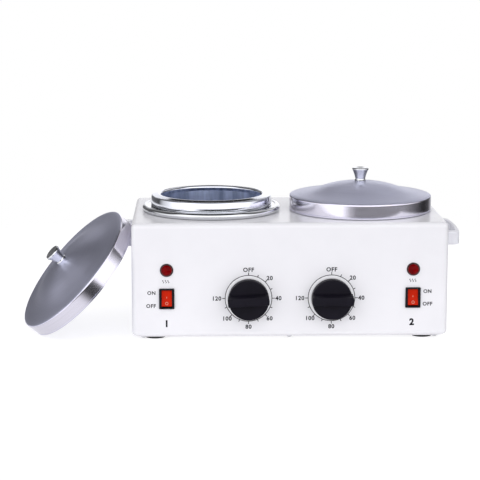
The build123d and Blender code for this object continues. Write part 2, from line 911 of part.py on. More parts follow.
model["right_dial_knob"] = dial_knob(1, right_dial_degrees)
for side_name, lid_place in (("left", leaning_place()), ("right", closed_place())):
    lid, lid_knob, lid_screw = lid_set(lid_place)
    model[f"{side_name}_lid"] = lid
    model[f"{side_name}_lid_knob"] = lid_knob
    model[f"{side_name}_lid_screw"] = lid_screw


def as_compound(piece):
    solids = piece if isinstance(piece, list) else [piece]
    return Compound(children=[solid for item in solids for solid in item.solids()])


# The origin goes to the middle of the whole set's footprint, on the table
nodes = {name: as_compound(piece) for name, piece in model.items()}
boxes = [node.bounding_box() for node in nodes.values()]
low = [min(getattr(box.min, axis) for box in boxes) for axis in "XYZ"]
high = [max(getattr(box.max, axis) for box in boxes) for axis in "XYZ"]
shift = Pos(-(low[0] + high[0]) / 2, -(low[1] + high[1]) / 2, -low[2])
for name, node in nodes.items():
    export_step(shift * node, f"parts/{name}.step")
print("box", [round(high[i] - low[i], 3) for i in range(3)])
print("origin in the housing's own layout", [round(-value, 4) for value in shift.position])
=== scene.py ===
import json
from math import atan2, cos, degrees, pi, radians, sin, sqrt, tan

import bmesh
import bpy
from mathutils import Matrix, Vector


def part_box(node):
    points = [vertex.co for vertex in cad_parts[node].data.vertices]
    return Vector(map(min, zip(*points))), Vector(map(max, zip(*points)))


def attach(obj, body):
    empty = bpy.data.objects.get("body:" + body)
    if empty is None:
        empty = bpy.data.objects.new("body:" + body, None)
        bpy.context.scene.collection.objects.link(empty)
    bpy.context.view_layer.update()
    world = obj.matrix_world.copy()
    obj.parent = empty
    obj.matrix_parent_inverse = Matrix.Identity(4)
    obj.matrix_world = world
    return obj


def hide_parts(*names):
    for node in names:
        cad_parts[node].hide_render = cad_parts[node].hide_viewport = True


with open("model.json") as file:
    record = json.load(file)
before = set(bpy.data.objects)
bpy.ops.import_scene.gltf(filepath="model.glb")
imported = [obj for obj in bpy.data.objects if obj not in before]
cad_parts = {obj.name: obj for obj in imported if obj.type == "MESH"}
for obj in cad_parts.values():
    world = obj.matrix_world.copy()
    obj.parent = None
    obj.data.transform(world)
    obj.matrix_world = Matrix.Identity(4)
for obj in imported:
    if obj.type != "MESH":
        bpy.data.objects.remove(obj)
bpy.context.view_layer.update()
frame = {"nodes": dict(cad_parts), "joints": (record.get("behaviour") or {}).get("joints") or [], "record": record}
nodes = frame["nodes"]
mm = 0.001


# Modelling helpers. Sizes in the dictionaries are in millimetres, as on a workshop drawing.

def deselectAll():
    if bpy.context.object and bpy.context.object.mode != "OBJECT":
        bpy.ops.object.mode_set(mode="OBJECT")
    bpy.ops.object.select_all(action="DESELECT")


def makeActive(piece):
    deselectAll()
    piece.select_set(True)
    bpy.context.view_layer.objects.active = piece


def editAll(piece):
    makeActive(piece)
    bpy.ops.object.mode_set(mode="EDIT")
    bpy.ops.mesh.select_all(action="SELECT")


def arcRings(middle, radius, startAngle, endAngle, steps):
    # rings of a rounded corner, angles from straight out towards up
    turns = [radians(startAngle + (endAngle - startAngle) * i / steps) for i in range(steps + 1)]
    return [(middle[0] + radius * cos(t), middle[1] + radius * sin(t)) for t in turns]


def easedRings(start, end, startSlope, endSlope, steps):
    # rings of a flowing curve with a set rise per millimetre inwards at both ends
    run = start[0] - end[0]
    rings = []
    for i in range(steps + 1):
        t = i / steps
        height = (
            (2 * t ** 3 - 3 * t ** 2 + 1) * start[1]
            + (t ** 3 - 2 * t ** 2 + t) * startSlope * run
            + (3 * t ** 2 - 2 * t ** 3) * end[1]
            + (t ** 3 - t ** 2) * endSlope * run
        )
        rings.append((start[0] - run * t, height))
    return rings


def turnPiece(name, rings, segments=128, closed=False):
    # turned about the upright axis: one ring is pulled through every radius and height
    startPole = rings[0][0] == 0
    endPole = rings[-1][0] == 0
    outline = rings[1:] if startPole else rings[:]
    deselectAll()
    bpy.ops.mesh.primitive_circle_add(vertices=segments, radius=outline[0][0] * mm, fill_type="NOTHING")
    piece = bpy.context.object
    piece.name = name
    piece.data.name = name
    editAll(piece)
    bpy.ops.transform.translate(value=(0, 0, outline[0][1] * mm))
    pull = outline[:-1] if endPole else outline
    for (radius, height), (nextRadius, nextHeight) in zip(pull, pull[1:]):
        bpy.ops.mesh.extrude_region_move(
            TRANSFORM_OT_translate={"value": (0, 0, (nextHeight - height) * mm)}
        )
        scale = nextRadius / radius
        bpy.ops.transform.resize(value=(scale, scale, 1), center_override=(0, 0, nextHeight * mm))
    if endPole:
        capRing(outline[-1][1] - pull[-1][1])
    if startPole:
        bpy.ops.mesh.select_all(action="DESELECT")
        bpy.ops.mesh.select_non_manifold(
            extend=False, use_wire=False, use_boundary=True, use_multi_face=False,
            use_non_contiguous=False, use_verts=False,
        )
        capRing(rings[0][1] - rings[1][1])
    bpy.ops.mesh.select_all(action="SELECT")
    if closed:
        bpy.ops.mesh.remove_doubles(threshold=0.002 * mm)
    bpy.ops.mesh.normals_make_consistent(inside=False)
    bpy.ops.object.mode_set(mode="OBJECT")
    return piece


def capRing(rise):
    bpy.ops.mesh.extrude_region_move(TRANSFORM_OT_translate={"value": (0, 0, rise * mm)})
    bpy.ops.mesh.merge(type="CENTER")


turnedUv = {"name": "turned", "climb": 5, "noiseRoughness": 0.6, "brushTurn": 0.25}


def wrapUv(piece):
    # U runs once round the turning axis and V climbs the profile, for the direction of the brushing
    name = turnedUv["name"]
    layer = piece.data.uv_layers.get(name) or piece.data.uv_layers.new(name=name)
    piece.data.uv_layers.active = layer
    points = [v.co for v in piece.data.vertices]
    for face in piece.data.polygons:
        angles = []
        for loop in face.loop_indices:
            point = points[piece.data.loops[loop].vertex_index]
            radius = sqrt(point.x ** 2 + point.y ** 2)
            angles.append(atan2(point.y, point.x) if radius > 1e-5 else None)
        known = [a for a in angles if a is not None]
        if max(known) - min(known) > pi:
            known = [a + 2 * pi if a < 0 else a for a in known]
            angles = [a + 2 * pi if a is not None and a < 0 else a for a in angles]
        middle = sum(known) / len(known)
        for loop, angle in zip(face.loop_indices, angles):
            point = points[piece.data.loops[loop].vertex_index]
            radius = sqrt(point.x ** 2 + point.y ** 2)
            around = (middle if angle is None else angle) / (2 * pi)
            layer.data[loop].uv = (around, (point.z - radius) * turnedUv["climb"])


def smoothPiece(piece, angle=35):
    makeActive(piece)
    bpy.ops.object.shade_smooth_by_angle(angle=radians(angle))


def bevelPiece(piece, width, segments=3, angle=30):
    makeActive(piece)
    bevel = piece.modifiers.new("edge", "BEVEL")
    bevel.width = width * mm
    bevel.segments = segments
    bevel.limit_method = "ANGLE"
    bevel.angle_limit = radians(angle)
    bevel.harden_normals = False
    bpy.ops.object.modifier_apply(modifier=bevel.name)


def placePiece(piece, matrix):
    # moves the mesh to its place, so the finished piece's object stays at the origin
    piece.data.transform(matrix)
    piece.data.update()


def joinPieces(pieces, name):
    deselectAll()
    for piece in pieces:
        piece.select_set(True)
    bpy.context.view_layer.objects.active = pieces[0]
    bpy.ops.object.join()
    pieces[0].name = name
    pieces[0].data.name = name
    return pieces[0]


def boxPiece(name, low, high):
    # low and high corners in millimetres
    deselectAll()
    middle = [(a + b) / 2 * mm for a, b in zip(low, high)]
    size = [(b - a) * mm for a, b in zip(low, high)]
    bpy.ops.mesh.primitive_cube_add(size=1, location=(0, 0, 0))
    piece = bpy.context.object
    piece.name = name
    piece.data.name = name
    editAll(piece)
    bpy.ops.transform.resize(value=size, center_override=(0, 0, 0))
    bpy.ops.transform.translate(value=middle)
    bpy.ops.object.mode_set(mode="OBJECT")
    return piece


def finishPiece(piece, material, body, slot, *replaced):
    # a piece that is painted already keeps its materials
    if not piece.data.materials:
        piece.data.materials.append(material)
    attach(piece, body)
    if replaced:
        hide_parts(*replaced)
    return piece


def paintFaces(piece, material, chosen):
    # one more material where the test on a face's middle, in the piece's own millimetres, holds
    piece.data.materials.append(material)
    for face in piece.data.polygons:
        middle = face.center / mm
        if chosen(sqrt(middle.x ** 2 + middle.y ** 2), middle.z, face.normal):
            face.material_index = len(piece.data.materials) - 1


def middleOf(node):
    low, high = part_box(node)
    return (low + high) / 2


# Materials

def newMaterial(name, color, roughness, metallic=0.0, **sockets):
    material = bpy.data.materials.new(name)
    material.use_nodes = True
    shader = material.node_tree.nodes["Principled BSDF"]
    shader.inputs["Base Color"].default_value = (*color, 1)
    shader.inputs["Roughness"].default_value = roughness
    shader.inputs["Metallic"].default_value = metallic
    for socket, value in sockets.items():
        shader.inputs[socket.replace("_", " ")].default_value = value
    return material


def addNode(material, kind, **settings):
    node = material.node_tree.nodes.new(kind)
    for setting, value in settings.items():
        setattr(node, setting, value)
    return node


def link(material, source, target):
    material.node_tree.links.new(source, target)


def objectNoise(material, scale, detail=3.0):
    # noise fixed to the object's own metres
    place = addNode(material, "ShaderNodeTexCoord")
    noise = addNode(material, "ShaderNodeTexNoise")
    noise.inputs["Scale"].default_value = scale
    noise.inputs["Detail"].default_value = detail
    link(material, place.outputs["Object"], noise.inputs["Vector"])
    return noise.outputs["Fac"]


def uvNoise(material, stretch, detail=3.0):
    # noise drawn out along the turning direction
    place = addNode(material, "ShaderNodeUVMap", uv_map=turnedUv["name"])
    mapping = addNode(material, "ShaderNodeMapping")
    mapping.inputs["Scale"].default_value = (*stretch, 1)
    noise = addNode(material, "ShaderNodeTexNoise")
    noise.inputs["Scale"].default_value = 1.0
    noise.inputs["Detail"].default_value = detail
    noise.inputs["Roughness"].default_value = turnedUv["noiseRoughness"]
    link(material, place.outputs["UV"], mapping.inputs["Vector"])
    link(material, mapping.outputs["Vector"], noise.inputs["Vector"])
    return noise.outputs["Fac"]


noiseLow, noiseHigh = 0.3, 0.7  # noise seldom strays outside these


def between(material, source, low, high):
    span = addNode(material, "ShaderNodeMapRange")
    span.inputs["From Min"].default_value = noiseLow
    span.inputs["From Max"].default_value = noiseHigh
    span.inputs["To Min"].default_value = low
    span.inputs["To Max"].default_value = high
    link(material, source, span.inputs["Value"])
    return span.outputs["Result"]


def tint(material, source, colorLow, colorHigh, fromLow=noiseLow):
    ramp = addNode(material, "ShaderNodeValToRGB")
    ramp.color_ramp.elements[0].position = fromLow
    ramp.color_ramp.elements[0].color = (*colorLow, 1)
    ramp.color_ramp.elements[1].position = noiseHigh
    ramp.color_ramp.elements[1].color = (*colorHigh, 1)
    link(material, source, ramp.inputs["Fac"])
    return ramp.outputs["Color"]


def setColor(material, source):
    link(material, source, material.node_tree.nodes["Principled BSDF"].inputs["Base Color"])


def setRoughness(material, source):
    link(material, source, material.node_tree.nodes["Principled BSDF"].inputs["Roughness"])


def setBump(material, source, strength, distance):
    bump = addNode(material, "ShaderNodeBump")
    bump.inputs["Strength"].default_value = strength
    bump.inputs["Distance"].default_value = distance * mm
    link(material, source, bump.inputs["Height"])
    link(material, bump.outputs["Normal"], material.node_tree.nodes["Principled BSDF"].inputs["Normal"])


def setBrushing(material, amount):
    # the highlight is drawn out square to the brushing, which runs round the turning axis
    shader = material.node_tree.nodes["Principled BSDF"]
    shader.inputs["Anisotropic"].default_value = amount
    shader.inputs["Anisotropic Rotation"].default_value = turnedUv["brushTurn"]
    tangent = addNode(material, "ShaderNodeTangent", direction_type="UV_MAP", uv_map=turnedUv["name"])
    link(material, tangent.outputs["Tangent"], shader.inputs["Tangent"])


unevenness = {
    "cloud": 45, "cloudDetail": 4, "gloss": 0.3, "glossDetail": 5, "smoothest": 0.85, "roughest": 1.2,
}


def grainedMaterial(name, color, roughness, grain, metallic=0.0, bump=0.1, depth=0.02, vary=0.06,
                    **sockets):
    # a plain finish with a little unevenness in colour and gloss, and a fine surface grain
    material = newMaterial(name, color, roughness, metallic, **sockets)
    cloud = objectNoise(material, unevenness["cloud"], unevenness["cloudDetail"])
    light = [min(1, c * (1 + vary)) for c in color]
    dark = [c * (1 - vary) for c in color]
    setColor(material, tint(material, cloud, dark, light))
    gloss = objectNoise(material, grain * unevenness["gloss"], unevenness["glossDetail"])
    setRoughness(material, between(material, gloss, roughness * unevenness["smoothest"],
                                   min(1, roughness * unevenness["roughest"])))
    setBump(material, objectNoise(material, grain), bump, depth)
    return material


# Painted and moulded finishes: colour, roughness and the fineness of the grain

enamel = grainedMaterial("whiteEnamel", (0.84, 0.833, 0.852), 0.22, 1500, bump=0.04, depth=0.01,
                         vary=0.01, Specular_IOR_Level=0.45)
handleGrey = grainedMaterial("handleGrey", (0.84, 0.84, 0.88), 0.35, 1400, bump=0.15, depth=0.03, vary=0.03)
plasticBlack = grainedMaterial("satinBlackPlastic", (0.008, 0.008, 0.011), 0.3, 2200, bump=0.12,
                               vary=0.2, Specular_IOR_Level=0.25)
dialBlack = grainedMaterial("dialBlack", (0.007, 0.006, 0.011), 0.5, 2600, bump=0.12, vary=0.2,
                            Specular_IOR_Level=0.12)
rubberBlack = grainedMaterial("feetRubber", (0.02, 0.02, 0.02), 0.75, 1200, bump=0.4, depth=0.05, vary=0.2)
siliconeRed = grainedMaterial("gasketSilicone", (0.45, 0.06, 0.04), 0.6, 900, bump=0.2, depth=0.03)
zincSteel = grainedMaterial("zincSteel", (0.55, 0.55, 0.57), 0.35, 900, metallic=1.0, bump=0.15, depth=0.03)
heaterSteel = grainedMaterial("heaterSteel", (0.42, 0.41, 0.42), 0.5, 600, metallic=1.0, bump=0.3,
                              depth=0.05, vary=0.15)
wool = grainedMaterial("ceramicWool", (0.8, 0.79, 0.75), 0.95, 500, bump=0.9, depth=0.6, vary=0.08)
copperTube = grainedMaterial("copperTube", (0.66, 0.33, 0.2), 0.3, 700, metallic=1.0, vary=0.15)
ceramic = grainedMaterial("glazedCeramic", (0.8, 0.79, 0.75), 0.25, 500, bump=0.1, depth=0.03)
wireSleeve = grainedMaterial("wireSleeve", (0.7, 0.66, 0.6), 0.7, 1600, bump=0.6, depth=0.1)

# Polished and brushed metals, whose fine lines run round the turning axis

chromePlate = newMaterial("chromePlate", (0.74, 0.75, 0.77), 0.04, 1.0)
setRoughness(chromePlate, between(chromePlate, objectNoise(chromePlate, 160, detail=6), 0.03, 0.09))
setBump(chromePlate, objectNoise(chromePlate, 60, detail=2), 0.06, 0.02)
potMetal = newMaterial("polishedAluminium", (0.82, 0.84, 0.9), 0.08, 1.0)
setRoughness(potMetal, between(potMetal, uvNoise(potMetal, (3, 900)), 0.05, 0.12))
setBump(potMetal, uvNoise(potMetal, (2, 700)), 0.04, 0.01)
setBrushing(potMetal, 0.3)
# the pot's inside wall, darker and bluer than the pot's outside: painted shade and bounced light within the pot,
# with streaks of lighter and darker colour running up the wall as painted reflections of the studio's lights
potInsideShade = newMaterial("potInsideShade", (0.42, 0.46, 0.58), 0.48, 0.9)
paintedReflectionStreaks = uvNoise(potInsideShade, (22, 2), detail=5)
setColor(potInsideShade, tint(potInsideShade, paintedReflectionStreaks, (0.25, 0.3, 0.44), (0.58, 0.66, 0.88), fromLow=0.35))
setRoughness(potInsideShade, between(potInsideShade, uvNoise(potInsideShade, (14, 60)), 0.42, 0.55))
setBump(potInsideShade, uvNoise(potInsideShade, (3, 500)), 0.06, 0.01)
# the pot's floor, also darker and bluer than the pot's outside: painted shade deep in the pot
potFloor = newMaterial("potFloor", (0.42, 0.47, 0.62), 0.45, 0.9)
floorRings = uvNoise(potFloor, (2, 260), detail=4)
setColor(potFloor, tint(potFloor, floorRings, (0.34, 0.39, 0.54), (0.5, 0.56, 0.74)))
setRoughness(potFloor, between(potFloor, objectNoise(potFloor, 60), 0.38, 0.52))
setBump(potFloor, uvNoise(potFloor, (3, 500)), 0.06, 0.01)


def makeLidMetal(name, low, high, roughness, brushing):
    material = newMaterial(name, high, roughness, 1.0)
    setColor(material, tint(material, uvNoise(material, (5, 900), detail=4), low, high))
    gloss = uvNoise(material, (9, 500))
    setRoughness(material, between(material, gloss, roughness * unevenness["smoothest"],
                                   roughness * unevenness["roughest"]))
    setBump(material, uvNoise(material, (4, 1400), detail=2), 0.06, 0.01)
    setBrushing(material, brushing)
    return material


lidMetal = makeLidMetal("brushedAluminium", (0.68, 0.69, 0.84), (0.8, 0.81, 0.97), 0.44, 0.5)
skirtMetal = makeLidMetal("rolledAluminium", (0.76, 0.74, 0.83), (0.86, 0.83, 0.93), 0.15, 0.25)

# The red parts and the inks

rockerRed = grainedMaterial("rockerRed", (0.52, 0.016, 0.002), 0.35, 1200, bump=0.05, vary=0.12,
                            Specular_IOR_Level=0.06)
lensRed = newMaterial("lensRed", (0.18, 0.0, 0.002), 0.08, 0.0, Specular_IOR_Level=0.06)
lensClouds = objectNoise(lensRed, 300, detail=2)
setColor(lensRed, tint(lensRed, lensClouds, (0.12, 0.0, 0.001), (0.2, 0.001, 0.002)))
setBump(lensRed, objectNoise(lensRed, 800, detail=2), 0.1, 0.02)
printInk = grainedMaterial("printInk", (0.006, 0.006, 0.01), 0.6, 2500, depth=0.01, vary=0.3,
                           Specular_IOR_Level=0.1)
lensRim = grainedMaterial("lensRim", (0.03, 0.001, 0.002), 0.3, 1200, vary=0.2)
markPaint = grainedMaterial("markPaint", (0.66, 0.26, 0.18), 0.4, 2000, bump=0.1, depth=0.01)
# whiter than the enamel, for the painted highlight round the dial knobs
highlightWhite = grainedMaterial("highlightWhite", (0.96, 0.96, 0.97), 0.4, 2500, bump=0.05, depth=0.01, vary=0.01)
print("materials made")

nodeMaterials = {
    "white_enamel": enamel, "handle_grey": handleGrey, "brushed_aluminium": lidMetal,
    "polished_aluminium": potMetal, "chrome": chromePlate, "screw_steel": zincSteel,
    "black_rubber": rubberBlack, "red_silicone": siliconeRed, "heater_steel": heaterSteel,
    "white_wool": wool, "copper": copperTube, "white_ceramic": ceramic, "black_plastic": plasticBlack,
    "red_rocker": rockerRed, "red_lens": lensRed, "wire_sleeve": wireSleeve,
}
for part in frame["record"]["subparts"]:
    node = nodes[part["node"]]
    node.data.materials.clear()
    node.data.materials.append(nodeMaterials[part["material_slot"]])
print("materials given to the CAD nodes")


# Lids: one turned shell, used level on the right pot and leaning on the left wall

lidSizes = {
    "radius": 74.6, "sheet": 1.0, "skirt": 15.6, "edgeRound": 1.7, "edgeLift": 0.08, "edgeTurn": 78,
    "support": 0.5, "lip": 0.25, "innerEdge": 0.4,
    "hemTop": 1.7, "hemHalf": 0.3, "hemAbove": 0.8, "grooveDepth": 0.22, "grooveHalf": 0.12,
    "seatRadius": 54.5, "seatRise": 3.4, "coneRadius": 32.0, "coneRise": 10.4,
    "knobRadius": 5.9, "crownRise": 13.8,
    "rimSlope": 0.2, "seatSlope": 0.24, "coneSlope": 0.25, "crownSlope": 0.06,
    "skirtFrom": 70, "steepest": 0.6, "segments": 160,
}


def lidTop(drop):
    # the rings of the top from the rim to the knob, lowered by the drop
    s = lidSizes
    skirt = s["skirt"] - drop
    seat = (s["seatRadius"], skirt + s["seatRise"])
    cone = (s["coneRadius"], skirt + s["coneRise"])
    crown = (s["knobRadius"], skirt + s["crownRise"])
    outer = easedRings((s["radius"], skirt), seat, s["rimSlope"], s["seatSlope"], steps=8)
    middle = easedRings(seat, cone, s["seatSlope"], s["coneSlope"], steps=8)
    inner = easedRings(cone, crown, s["coneSlope"], s["crownSlope"], steps=10)
    return outer + middle[1:] + inner[1:]


def makeLid(name):
    s = lidSizes
    outside, inside = s["radius"], s["radius"] - s["sheet"]
    under = [ring for ring in lidTop(s["sheet"]) if ring[0] < inside]
    lip, edge = s["lip"], s["edgeRound"]
    rings = [(0, under[-1][1])] + under[::-1]
    rings += [(inside, under[0][1] - s["innerEdge"]), (inside, lip), (inside + lip, 0)]
    rings += [(outside - lip, 0), (outside, lip)]
    # the fine groove above the rolled hem
    hem, half, groove = s["hemTop"], s["grooveHalf"], outside - s["grooveDepth"]
    rings += [(outside, hem - s["hemHalf"]), (groove, hem - half)]
    rings += [(groove, hem + half), (outside, hem + s["hemHalf"])]
    rings += [(outside, hem + s["hemAbove"]), (outside, s["skirt"] - edge - s["support"])]
    corner = (outside - edge, s["skirt"] - edge + s["edgeLift"])
    rings += arcRings(corner, edge, 0, s["edgeTurn"], steps=5)
    rings += [ring for ring in lidTop(0) if ring[0] < outside - edge]
    rings += [(0, rings[-1][1])]
    lid = turnPiece(name, rings, s["segments"])
    wrapUv(lid)
    smoothPiece(lid, 40)
    return lid


knobSizes = {
    "base": 5.9, "baseEdge": 0.2, "collar": 1.5, "collarEdge": 0.3, "waist": 5.3, "waistRise": 0.9,
    "top": 8.75, "height": 14.4, "flare": 1.5, "flareSteps": 12, "round": 1.7, "roundFrom": 9,
    "dish": 0.8, "dishRim": 0.3, "dishFloor": 0.6, "dishSlope": -0.2, "segments": 64,
}


def makeLidKnob(name):
    s = knobSizes
    waistHeight = s["collar"] + s["waistRise"]
    rimHeight = s["height"] - s["round"]
    rimMiddle = s["top"] - s["round"]
    dishHeight = s["height"] - s["dish"]
    rings = [(0, 0), (s["base"] - s["baseEdge"], 0), (s["base"], s["baseEdge"])]
    rings += [(s["base"], s["collar"] - s["collarEdge"]), (s["base"] - s["collarEdge"], s["collar"])]
    rings += [(s["waist"], waistHeight)]
    for i in range(1, s["flareSteps"] + 1):
        t = i / s["flareSteps"]
        swell = s["waist"] + (s["top"] - s["waist"]) * t ** s["flare"]
        rings.append((swell, waistHeight + (rimHeight - waistHeight) * t))
    rings += arcRings((rimMiddle, rimHeight), s["round"], s["roundFrom"], 90, steps=9)
    rings += easedRings((rimMiddle - s["dishRim"], s["height"]), (s["dishFloor"], dishHeight),
                        s["dishSlope"], 0, steps=6)
    rings += [(0, dishHeight)]
    knob = turnPiece(name, rings, s["segments"])
    wrapUv(knob)
    smoothPiece(knob, 40)
    return knob


def lidPlace(side):
    # the lid's own axis and rim centre, read from where the frame holds it
    if side == "right":
        low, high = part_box("right_lid")
        return Matrix.Translation(((low.x + high.x) / 2, (low.y + high.y) / 2, low.z))
    joint = [j for j in frame["joints"] if j["name"] == "left_lid_lift"][0]
    axis = Vector(joint["axis"]).normalized()
    turn = Vector((0, 0, 1)).rotation_difference(axis).to_matrix().to_4x4()
    points = [v.co for v in nodes["left_lid"].data.vertices]
    heights = [p.dot(axis) for p in points]
    rimTop = min(heights) + 0.02 * mm
    rim = [p for p, h in zip(points, heights) if h < rimTop]
    low = [min(p[i] for p in rim) for i in range(3)]
    high = [max(p[i] for p in rim) for i in range(3)]
    middle = (Vector(low) + Vector(high)) / 2
    return Matrix.Translation(middle) @ turn


def onSkirt(radius, height, normal):
    return radius > lidSizes["skirtFrom"] and abs(normal.z) < lidSizes["steepest"]


sides = ("left", "right")
for side in sides:
    place = lidPlace(side)
    lid = makeLid(f"{side}LidShell")
    lid.data.materials.append(lidMetal)
    paintFaces(lid, skirtMetal, onSkirt)
    placePiece(lid, place)
    finishPiece(lid, lidMetal, f"{side}_lid_set", "brushed_aluminium", f"{side}_lid")
    knob = makeLidKnob(f"{side}LidKnob")
    crown = lidSizes["skirt"] + lidSizes["crownRise"]
    placePiece(knob, place @ Matrix.Translation((0, 0, crown * mm)))
    finishPiece(knob, chromePlate, f"{side}_lid_set", "chrome", f"{side}_lid_knob")
print("lids made")


# Inner pots and the wells that hold them

potSizes = {
    "bore": 52.7, "sheet": 1.2, "depth": 92.0, "floorCorner": 7.0, "lip": 2.6, "lipEdge": 0.5,
    "collar": 63.3, "collarHeight": 11.95, "shoulderWidth": 0.7, "shoulderDrop": 1.5,
    "shoulderRound": 1.7, "topRings": (0.12, 0.9), "swell": 0.05, "bandSteps": 10,
    "wallRing": 20, "shadeTop": 5.5, "shadeEdge": 0.3, "floorPaint": 47, "floorEdge": 1.0,
    "segments": 160,
}


def makePot(name):
    # heights are measured down from the lip
    s = potSizes
    floor = -s["depth"]
    outside = s["bore"] + s["sheet"]
    shoulder = (s["collar"] - s["shoulderWidth"], -s["shoulderDrop"])
    edge = (s["collar"], -s["collarHeight"])
    crest = s["bore"] + s["lip"]
    corner = s["floorCorner"]
    rings = [(0, floor), (s["bore"] - corner, floor)]
    rings += arcRings((s["bore"] - corner, floor + corner), corner, -80, 0, steps=7)
    rings += [(s["bore"], -s["wallRing"]), (s["bore"], -s["shadeTop"])]
    rings += [(s["bore"], -s["lip"] - s["lipEdge"])]
    rings += arcRings((crest, -s["lip"]), s["lip"], 180, 90, steps=9)
    # the shoulder's arc touches the top's slope and the band's
    length = sqrt((edge[0] - shoulder[0]) ** 2 + (edge[1] - shoulder[1]) ** 2)
    topFall = degrees(atan2(s["shoulderDrop"], shoulder[0] - crest))
    bandFall = degrees(atan2(shoulder[1] - edge[1], edge[0] - shoulder[0])) - degrees(4 * s["swell"])
    reach = s["shoulderRound"] * tan(radians((bandFall - topFall) / 2))
    turnStart = (shoulder[0] - reach * cos(radians(topFall)), shoulder[1] + reach * sin(radians(topFall)))
    middle = (turnStart[0] - s["shoulderRound"] * sin(radians(topFall)),
              turnStart[1] - s["shoulderRound"] * cos(radians(topFall)))
    for t in s["topRings"]:
        rings.append((crest + (turnStart[0] - crest) * t, turnStart[1] * t))
    rings += arcRings(middle, s["shoulderRound"], 90 - topFall, 90 - bandFall, steps=8)
    # the band bulges a little between the shoulder and its edge
    band = []
    for i in range(2, s["bandSteps"] + 1):
        t = i / s["bandSteps"]
        swell = 4 * t * (1 - t) * s["swell"] * length
        band.append((shoulder[0] + (edge[0] - shoulder[0]) * t + swell * (shoulder[1] - edge[1]) / length,
                     shoulder[1] + (edge[1] - shoulder[1]) * t + swell * (edge[0] - shoulder[0]) / length))
    rings += band
    rings += [(radius - s["sheet"], height) for radius, height in band[::-1]]
    rings += [(outside, -s["lip"] - s["sheet"]), (outside, -s["wallRing"]), (outside, floor + corner)]
    bottomCorner = corner + s["sheet"]
    rings += arcRings((outside - bottomCorner, floor + corner), bottomCorner, -12, -90, steps=6)
    rings += [(0, floor - s["sheet"])]
    pot = turnPiece(name, rings, s["segments"])
    wrapUv(pot)
    smoothPiece(pot, 30)
    return pot


wellSizes = {
    "bead": 3.4, "beadReach": 72.5, "flangeTop": 6.0, "bore": 56.0, "boreRound": 0.8, "sheet": 1.2,
    "floor": 1.5, "segments": 160,
}


def makeWell(name, beadHeight, bottom):
    # heights are above the housing's top
    s = wellSizes
    middle = s["beadReach"] - s["bead"]
    top = s["flangeTop"]
    under = top - s["sheet"]
    corner = s["boreRound"]
    rings = [(0, bottom + s["floor"]), (s["bore"], bottom + s["floor"]), (s["bore"], top - corner)]
    rings += arcRings((s["bore"] + corner, top - corner), corner, 180, 90, steps=4)[1:]
    # the bead runs from the flange's top all the way round to its underside
    topAngle = degrees(atan2(top - beadHeight, -sqrt(s["bead"] ** 2 - (top - beadHeight) ** 2)))
    lowAngle = degrees(atan2(under - beadHeight, -sqrt(s["bead"] ** 2 - (under - beadHeight) ** 2))) - 360
    rings += arcRings((middle, beadHeight), s["bead"], topAngle, lowAngle, steps=28)
    rings += [(s["bore"] + s["sheet"], under), (s["bore"] + s["sheet"], bottom), (0, bottom)]
    well = turnPiece(name, rings, s["segments"])
    wrapUv(well)
    smoothPiece(well, 30)
    return well


# the inside wall below the lip, which carries the painted shade and painted reflections
def onShadedWall(radius, height, normal):
    return radius < potSizes["bore"] + potSizes["shadeEdge"] and height < -potSizes["shadeTop"]


def onPotFloor(radius, height, normal):
    above = height + potSizes["depth"]
    return radius < potSizes["floorPaint"] and abs(above) < potSizes["floorEdge"]


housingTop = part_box("housing_shell")[1].z
for side in sides:
    low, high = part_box(f"{side}_inner_pot")
    pot = makePot(f"{side}InnerPot")
    pot.data.materials.append(potMetal)
    paintFaces(pot, potInsideShade, onShadedWall)
    paintFaces(pot, potFloor, onPotFloor)
    placePiece(pot, Matrix.Translation(((low.x + high.x) / 2, (low.y + high.y) / 2, high.z)))
    finishPiece(pot, potMetal, f"{side}_pot", "polished_aluminium", f"{side}_inner_pot")
    low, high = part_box(f"{side}_heating_well")
    beadHeight = (high.z - housingTop) / mm - wellSizes["bead"]
    well = makeWell(f"{side}HeatingWell", beadHeight, (low.z - housingTop) / mm)
    placePiece(well, Matrix.Translation(((low.x + high.x) / 2, (low.y + high.y) / 2, housingTop)))
    finishPiece(well, chromePlate, "housing", "chrome", f"{side}_heating_well")
print("pots and wells made")


# Dial knobs: a turned skirt with a tapered grip bar across it

dialSizes = {
    "radius": 20.5, "thickness": 9.5, "edge": 0.9, "faceRing": 1.6, "rearEdge": 0.4,
    "recessWall": 2.6, "recess": 5.0, "hub": 6.5, "hubEdge": 0.3, "bore": 3.05,
    "gripBase": 12.8, "gripFront": 8.2, "gripHeight": 9.0, "gripSink": 0.6, "gripEdge": 0.7, "tip": 0.8,
    "trimDepth": 40, "trimHeight": 10, "segments": 96,
}


